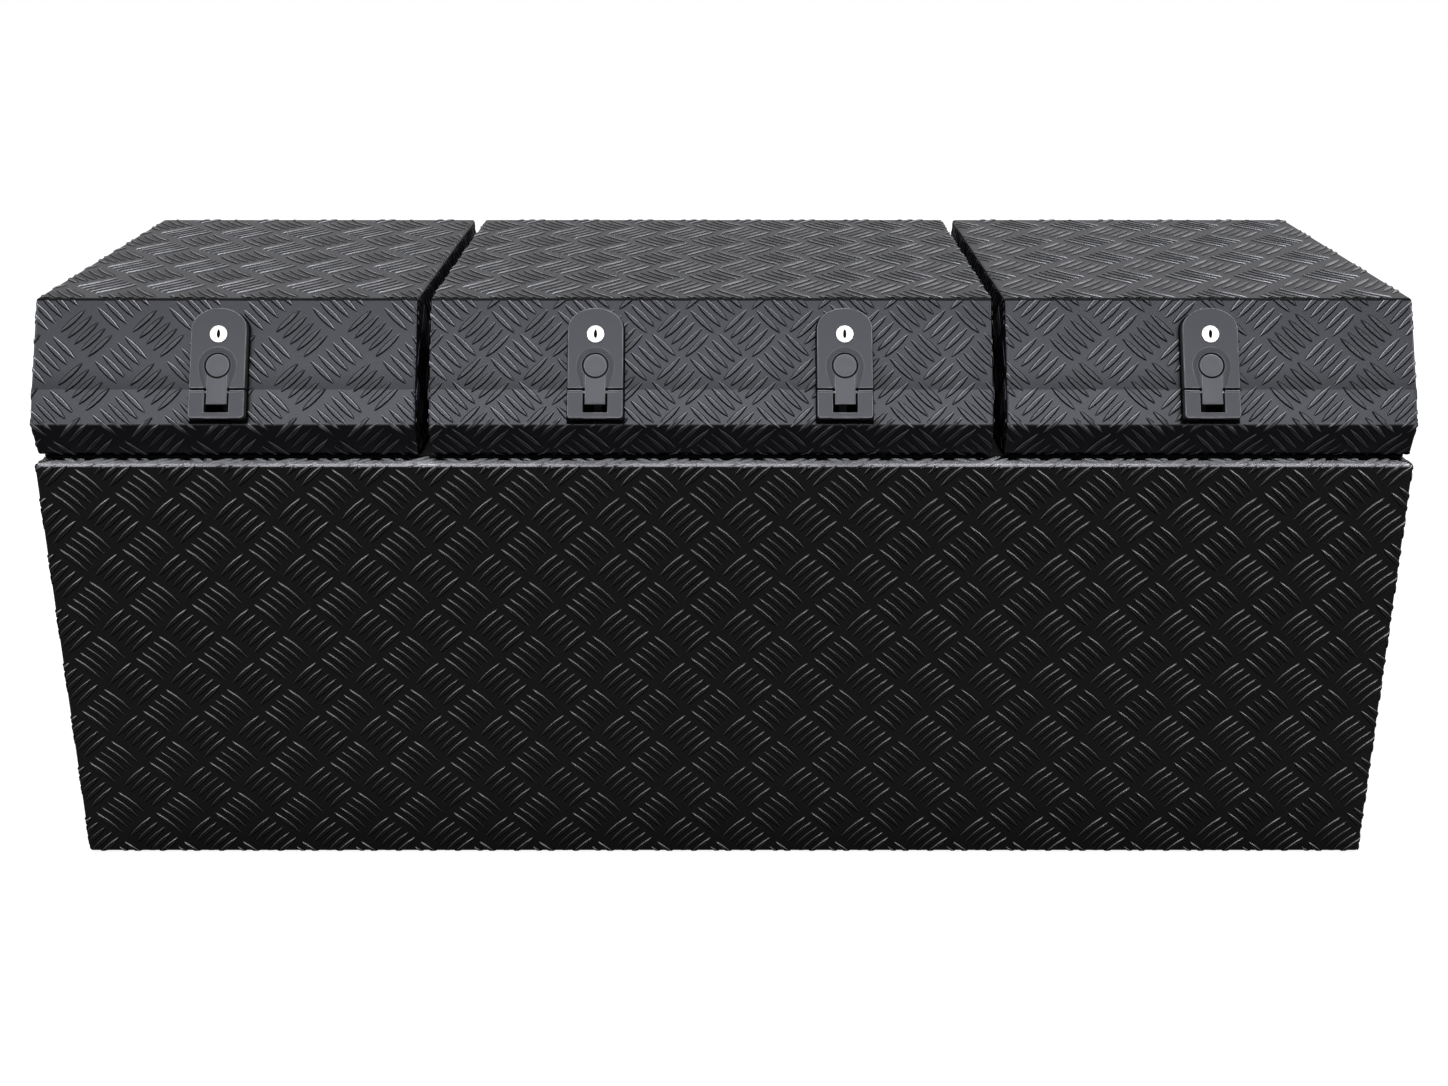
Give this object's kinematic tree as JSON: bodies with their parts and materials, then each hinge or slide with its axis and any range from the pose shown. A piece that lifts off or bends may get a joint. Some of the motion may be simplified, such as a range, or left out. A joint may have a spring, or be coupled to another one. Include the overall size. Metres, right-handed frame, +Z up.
{
  "type": "caravan tool box",
  "caption": "Long tread plate tool box with side by side hinged lids, sloping fronts, push latches with key cylinders and gas struts.",
  "frame": {"origin": "middle of the underside of the whole box, on the surface it stands on", "axes": "+X to the right along the box as its latches are seen, +Y from the front to the hinges at the back, +Z up"},
  "size_m": [1.4, 0.5254, 0.606],
  "materials": {
    "tread_plate": "satin",
    "plain_sheet": "satin",
    "latch_casting": "satin",
    "bright_metal": "polished",
    "steel": "satin",
    "hinge_steel": "satin",
    "strut_black": "satin",
    "rubber": "matte"
  },
  "bodies": {
    "tub": {"tub": "tread_plate", "divider_left": "plain_sheet", "divider_right": "plain_sheet", "seal_left": "rubber", "seal_middle": "rubber", "seal_right": "rubber", "hinge_tub_leaf_left": "hinge_steel", "hinge_tub_leaf_middle": "hinge_steel", "hinge_tub_leaf_right": "hinge_steel", "hinge_pin_left": "hinge_steel", "hinge_pin_middle": "hinge_steel", "hinge_pin_right": "hinge_steel", "strut_foot_1": "steel", "strut_foot_2": "steel", "strut_foot_3": "steel", "strut_foot_4": "steel"},
    "left_lid": {"lid_left": "tread_plate", "hinge_lid_leaf_left": "hinge_steel", "latch_housing_1": "latch_casting", "lever_pin_1": "steel", "strut_stud_1": "steel"},
    "middle_lid": {"lid_middle": "tread_plate", "hinge_lid_leaf_middle": "hinge_steel", "latch_housing_2": "latch_casting", "latch_housing_3": "latch_casting", "lever_pin_2": "steel", "lever_pin_3": "steel", "strut_stud_2": "steel", "strut_stud_3": "steel"},
    "right_lid": {"lid_right": "tread_plate", "hinge_lid_leaf_right": "hinge_steel", "latch_housing_4": "latch_casting", "lever_pin_4": "steel", "strut_stud_4": "steel"},
    "lever_1": {"latch_lever_1": "latch_casting"},
    "button_1": {"push_button_1": "latch_casting"},
    "cylinder_1": {"key_cylinder_1": "bright_metal"},
    "hook_body_1": {"hook_1": "steel"},
    "lever_2": {"latch_lever_2": "latch_casting"},
    "button_2": {"push_button_2": "latch_casting"},
    "cylinder_2": {"key_cylinder_2": "bright_metal"},
    "hook_body_2": {"hook_2": "steel"},
    "lever_3": {"latch_lever_3": "latch_casting"},
    "button_3": {"push_button_3": "latch_casting"},
    "cylinder_3": {"key_cylinder_3": "bright_metal"},
    "hook_body_3": {"hook_3": "steel"},
    "lever_4": {"latch_lever_4": "latch_casting"},
    "button_4": {"push_button_4": "latch_casting"},
    "cylinder_4": {"key_cylinder_4": "bright_metal"},
    "hook_body_4": {"hook_4": "steel"},
    "tube_1": {"strut_tube_1": "strut_black"},
    "rod_1": {"strut_rod_1": "bright_metal"},
    "tube_2": {"strut_tube_2": "strut_black"},
    "rod_2": {"strut_rod_2": "bright_metal"},
    "tube_3": {"strut_tube_3": "strut_black"},
    "rod_3": {"strut_rod_3": "bright_metal"},
    "tube_4": {"strut_tube_4": "strut_black"},
    "rod_4": {"strut_rod_4": "bright_metal"}
  },
  "joints": [
    {"name": "left_lid_hinge", "type": "hinge", "parent": "tub", "child": "left_lid", "pos_m": [-0.505, 0.26, 0.452], "axis": [-1, 0, 0], "range_deg": [0, 80]},
    {"name": "middle_lid_hinge", "type": "hinge", "parent": "tub", "child": "middle_lid", "pos_m": [-0.013, 0.26, 0.452], "axis": [-1, 0, 0], "range_deg": [0, 80]},
    {"name": "right_lid_hinge", "type": "hinge", "parent": "tub", "child": "right_lid", "pos_m": [0.492, 0.26, 0.452], "axis": [-1, 0, 0], "range_deg": [0, 80]},
    {"name": "lever_1_hinge", "type": "hinge", "parent": "left_lid", "child": "lever_1", "pos_m": [-0.50812, -0.24658, 0.522], "axis": [-1, 0, 0], "range_deg": [0, 75]},
    {"name": "button_1_push", "type": "slide", "parent": "left_lid", "child": "button_1", "axis": [0, 0.8771, -0.4803], "range_m": [0, 0.003]},
    {"name": "cylinder_1_turn", "type": "hinge", "parent": "left_lid", "child": "cylinder_1", "pos_m": [-0.50812, -0.21068, 0.57007], "axis": [0, -0.8771, 0.4803], "range_deg": [0, 90]},
    {"name": "hook_1_swing", "type": "hinge", "parent": "left_lid", "child": "hook_body_1", "pos_m": [-0.50812, -0.2153, 0.51582], "axis": [-1, 0, 0], "range_deg": [0, 6]},
    {"name": "lever_2_hinge", "type": "hinge", "parent": "middle_lid", "child": "lever_2", "pos_m": [-0.12912, -0.24658, 0.522], "axis": [-1, 0, 0], "range_deg": [0, 75]},
    {"name": "button_2_push", "type": "slide", "parent": "middle_lid", "child": "button_2", "axis": [0, 0.8771, -0.4803], "range_m": [0, 0.003]},
    {"name": "cylinder_2_turn", "type": "hinge", "parent": "middle_lid", "child": "cylinder_2", "pos_m": [-0.12912, -0.21068, 0.57007], "axis": [0, -0.8771, 0.4803], "range_deg": [0, 90]},
    {"name": "hook_2_swing", "type": "hinge", "parent": "middle_lid", "child": "hook_body_2", "pos_m": [-0.12912, -0.2153, 0.51582], "axis": [-1, 0, 0], "range_deg": [0, 6]},
    {"name": "lever_3_hinge", "type": "hinge", "parent": "middle_lid", "child": "lever_3", "pos_m": [0.12142, -0.24658, 0.522], "axis": [-1, 0, 0], "range_deg": [0, 75]},
    {"name": "button_3_push", "type": "slide", "parent": "middle_lid", "child": "button_3", "axis": [0, 0.8771, -0.4803], "range_m": [0, 0.003]},
    {"name": "cylinder_3_turn", "type": "hinge", "parent": "middle_lid", "child": "cylinder_3", "pos_m": [0.12142, -0.21068, 0.57007], "axis": [0, -0.8771, 0.4803], "range_deg": [0, 90]},
    {"name": "hook_3_swing", "type": "hinge", "parent": "middle_lid", "child": "hook_body_3", "pos_m": [0.12142, -0.2153, 0.51582], "axis": [-1, 0, 0], "range_deg": [0, 6]},
    {"name": "lever_4_hinge", "type": "hinge", "parent": "right_lid", "child": "lever_4", "pos_m": [0.48909, -0.24658, 0.522], "axis": [-1, 0, 0], "range_deg": [0, 75]},
    {"name": "button_4_push", "type": "slide", "parent": "right_lid", "child": "button_4", "axis": [0, 0.8771, -0.4803], "range_m": [0, 0.003]},
    {"name": "cylinder_4_turn", "type": "hinge", "parent": "right_lid", "child": "cylinder_4", "pos_m": [0.48909, -0.21068, 0.57007], "axis": [0, -0.8771, 0.4803], "range_deg": [0, 90]},
    {"name": "hook_4_swing", "type": "hinge", "parent": "right_lid", "child": "hook_body_4", "pos_m": [0.48909, -0.2153, 0.51582], "axis": [-1, 0, 0], "range_deg": [0, 6]},
    {"name": "strut_1_foot", "type": "hinge", "parent": "tub", "child": "tube_1", "pos_m": [-0.672, 0.17296, 0.367], "axis": [-1, 0, 0], "range_deg": [0, 71.48]},
    {"name": "strut_1_slide", "type": "slide", "parent": "tube_1", "child": "rod_1", "axis": [0, -0.865, 0.5018], "range_m": [0, 0.1485]},
    {"name": "strut_2_foot", "type": "hinge", "parent": "tub", "child": "tube_2", "pos_m": [-0.271, 0.17296, 0.367], "axis": [-1, 0, 0], "range_deg": [0, 71.48]},
    {"name": "strut_2_slide", "type": "slide", "parent": "tube_2", "child": "rod_2", "axis": [0, -0.865, 0.5018], "range_m": [0, 0.1485]},
    {"name": "strut_3_foot", "type": "hinge", "parent": "tub", "child": "tube_3", "pos_m": [0.245, 0.17296, 0.367], "axis": [-1, 0, 0], "range_deg": [0, 71.48]},
    {"name": "strut_3_slide", "type": "slide", "parent": "tube_3", "child": "rod_3", "axis": [0, -0.865, 0.5018], "range_m": [0, 0.1485]},
    {"name": "strut_4_foot", "type": "hinge", "parent": "tub", "child": "tube_4", "pos_m": [0.672, 0.17296, 0.367], "axis": [-1, 0, 0], "range_deg": [0, 71.48]},
    {"name": "strut_4_slide", "type": "slide", "parent": "tube_4", "child": "rod_4", "axis": [0, -0.865, 0.5018], "range_m": [0, 0.1485]}
  ],
  "couplings": [
    {"joint": "strut_1_foot", "follows": "left_lid_hinge", "ratio": 0.88721},
    {"joint": "strut_1_slide", "follows": "left_lid_hinge", "m_per_rad": 0.10564},
    {"joint": "strut_2_foot", "follows": "middle_lid_hinge", "ratio": 0.88721},
    {"joint": "strut_2_slide", "follows": "middle_lid_hinge", "m_per_rad": 0.10564},
    {"joint": "strut_3_foot", "follows": "middle_lid_hinge", "ratio": 0.88721},
    {"joint": "strut_3_slide", "follows": "middle_lid_hinge", "m_per_rad": 0.10564},
    {"joint": "strut_4_foot", "follows": "right_lid_hinge", "ratio": 0.88721},
    {"joint": "strut_4_slide", "follows": "right_lid_hinge", "m_per_rad": 0.10564}
  ]
}
